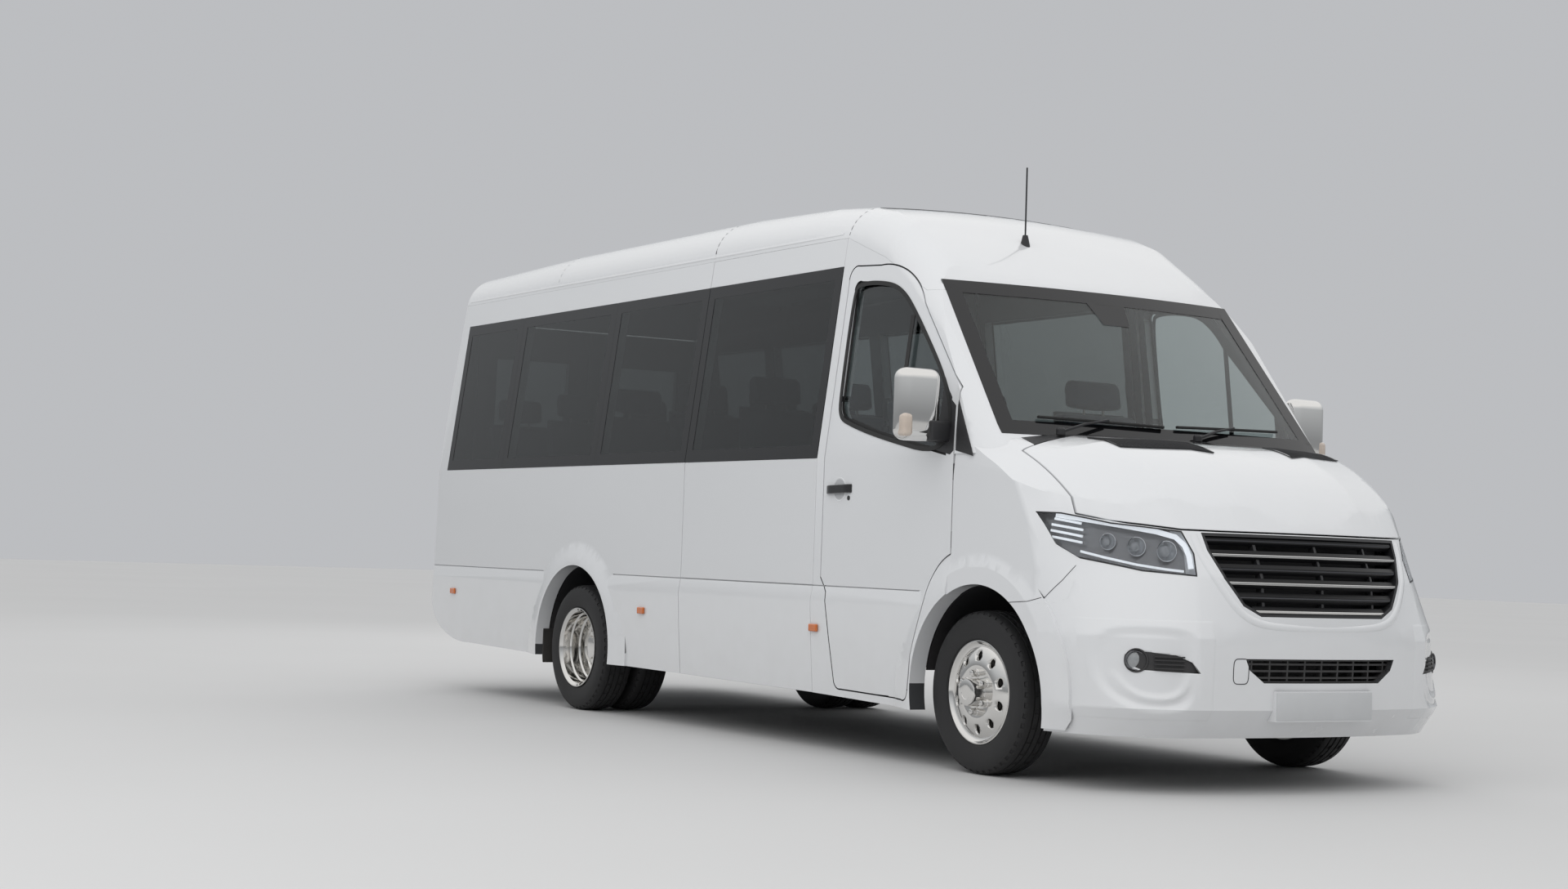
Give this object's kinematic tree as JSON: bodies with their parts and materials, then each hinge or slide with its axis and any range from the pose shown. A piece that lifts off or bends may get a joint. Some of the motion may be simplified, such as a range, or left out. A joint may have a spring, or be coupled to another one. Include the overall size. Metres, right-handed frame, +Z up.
{
  "type": "minibus",
  "caption": "White high-roof minibus with dark side glass, hinged cab and rear doors, opening bonnet, steered front wheels and twin rear wheels.",
  "frame": {"origin": "centre of the overall box, on the ground under the tyres", "axes": "+X forward, +Y to the vehicle left, +Z up"},
  "size_m": [6.8902, 2.45, 2.7499],
  "materials": {
    "paint_white": "gloss white two-layer paint with clear coat",
    "glass_dark": "dark privacy glass, gloss",
    "glass_screen": "laminated windscreen glass with a light green tint",
    "glass_door": "lightly tinted toughened glass",
    "plastic_black": "moulded black plastic with a fine grain",
    "plastic_gloss": "gloss black plastic",
    "plastic_grey": "moulded grey trim with a fine grain",
    "lamp_clear": "clear polycarbonate, gloss",
    "lamp_red": "clear red lens plastic",
    "lamp_amber": "amber lens plastic",
    "lamp_body": "bright reflector with dark bezel",
    "chrome": "polished bright metal",
    "tyre": "black tyre rubber",
    "rubber": "black rubber sheet",
    "steel_black": "black chassis paint",
    "steel": "bare machined steel",
    "cast_iron": "rough casting, satin",
    "floor_vinyl": "grey safety floor covering",
    "fabric": "woven seat cloth"
  },
  "bodies": {
    "body": {"windscreen": "glass_screen", "roof": "paint_white", "tail_lamps": "lamp_red", "side_panel_left_rear": "paint_white", "side_panel_right_rear": "paint_white", "side_panel_right_front": "paint_white", "sliding_door": "paint_white", "side_glass": "glass_dark", "side_markers": "lamp_amber", "rear_bumper": "plastic_black", "rear_hinges": "paint_white", "door_hinges": "steel_black", "front_bumper": "paint_white", "front_wings": "paint_white", "scuttle": "plastic_black", "grille": "plastic_gloss", "lamp_lenses": "lamp_clear", "lamp_housings": "lamp_body", "cab_frame": "paint_white", "floor": "floor_vinyl", "arch_liners": "plastic_black", "chassis_frame": "steel_black", "engine": "cast_iron", "radiator": "plastic_black", "front_axle": "steel_black", "rear_axle": "cast_iron", "fuel_tank": "plastic_black", "exhaust": "steel", "mud_flaps": "rubber", "dashboard": "plastic_grey", "cab_seats": "fabric", "cabin_seats": "fabric", "seat_bases": "steel_black", "aerial": "plastic_black"},
    "cab_door_left": {"cab_door_left": "paint_white", "door_glass_left": "glass_door", "mirror_left": "chrome"},
    "cab_door_right": {"cab_door_right": "paint_white", "door_glass_right": "glass_door", "mirror_right": "chrome"},
    "rear_door_left": {"rear_door_left": "paint_white", "rear_glass_left": "glass_dark"},
    "rear_door_right": {"rear_door_right": "paint_white", "rear_glass_right": "glass_dark"},
    "bonnet": {"bonnet": "paint_white"},
    "knuckle_left": {"knuckle_left": "cast_iron"},
    "knuckle_right": {"knuckle_right": "cast_iron"},
    "front_wheel_left": {"front_rim_left": "chrome", "front_tyre_left": "tyre"},
    "front_wheel_right": {"front_rim_right": "chrome", "front_tyre_right": "tyre"},
    "rear_wheels_left": {"rear_rims_left": "chrome", "rear_tyres_left": "tyre"},
    "rear_wheels_right": {"rear_rims_right": "chrome", "rear_tyres_right": "tyre"},
    "steering_wheel": {"steering_wheel": "plastic_black"}
  },
  "joints": [
    {"name": "cab_door_left_hinge", "type": "hinge", "parent": "body", "child": "cab_door_left", "pos_m": [2.21825, 0.996, 1], "axis": [0, 0, 1], "range_deg": [-68, 0]},
    {"name": "cab_door_right_hinge", "type": "hinge", "parent": "body", "child": "cab_door_right", "pos_m": [2.21825, -0.996, 1], "axis": [0, 0, 1], "range_deg": [0, 68]},
    {"name": "rear_door_left_hinge", "type": "hinge", "parent": "body", "child": "rear_door_left", "pos_m": [-3.403, 0.79, 1.4], "axis": [0.0499, 0, 0.9988], "range_deg": [-180, 0]},
    {"name": "rear_door_right_hinge", "type": "hinge", "parent": "body", "child": "rear_door_right", "pos_m": [-3.403, -0.79, 1.4], "axis": [0.0499, 0, 0.9988], "range_deg": [0, 180]},
    {"name": "bonnet_hinge", "type": "hinge", "parent": "body", "child": "bonnet", "pos_m": [2.54975, 0, 1.44635], "axis": [0, -1, 0], "range_deg": [0, 52]},
    {"name": "steer_left", "type": "hinge", "parent": "body", "child": "knuckle_left", "pos_m": [2.365, 0.745, 0.345], "axis": [0, 0, 1], "range_deg": [-35, 35]},
    {"name": "steer_right", "type": "hinge", "parent": "body", "child": "knuckle_right", "pos_m": [2.365, -0.745, 0.345], "axis": [0, 0, 1], "range_deg": [-35, 35]},
    {"name": "front_wheel_left_spin", "type": "hinge", "parent": "knuckle_left", "child": "front_wheel_left", "pos_m": [2.365, 0.858, 0.345], "axis": [0, 1, 0], "continuous": true},
    {"name": "front_wheel_right_spin", "type": "hinge", "parent": "knuckle_right", "child": "front_wheel_right", "pos_m": [2.365, -0.858, 0.345], "axis": [0, 1, 0], "continuous": true},
    {"name": "rear_wheels_left_spin", "type": "hinge", "parent": "body", "child": "rear_wheels_left", "pos_m": [-1.365, 0.78, 0.345], "axis": [0, 1, 0], "continuous": true},
    {"name": "rear_wheels_right_spin", "type": "hinge", "parent": "body", "child": "rear_wheels_right", "pos_m": [-1.365, -0.78, 0.345], "axis": [0, 1, 0], "continuous": true},
    {"name": "steering_wheel_turn", "type": "hinge", "parent": "body", "child": "steering_wheel", "pos_m": [2.02, -0.49, 1.262], "axis": [-0.8281, 0, 0.5606], "range_deg": [-526, 526]}
  ],
  "couplings": [
    {"joint": "steer_right", "follows": "steer_left", "ratio": 1},
    {"joint": "steering_wheel_turn", "follows": "steer_left", "ratio": 15}
  ]
}
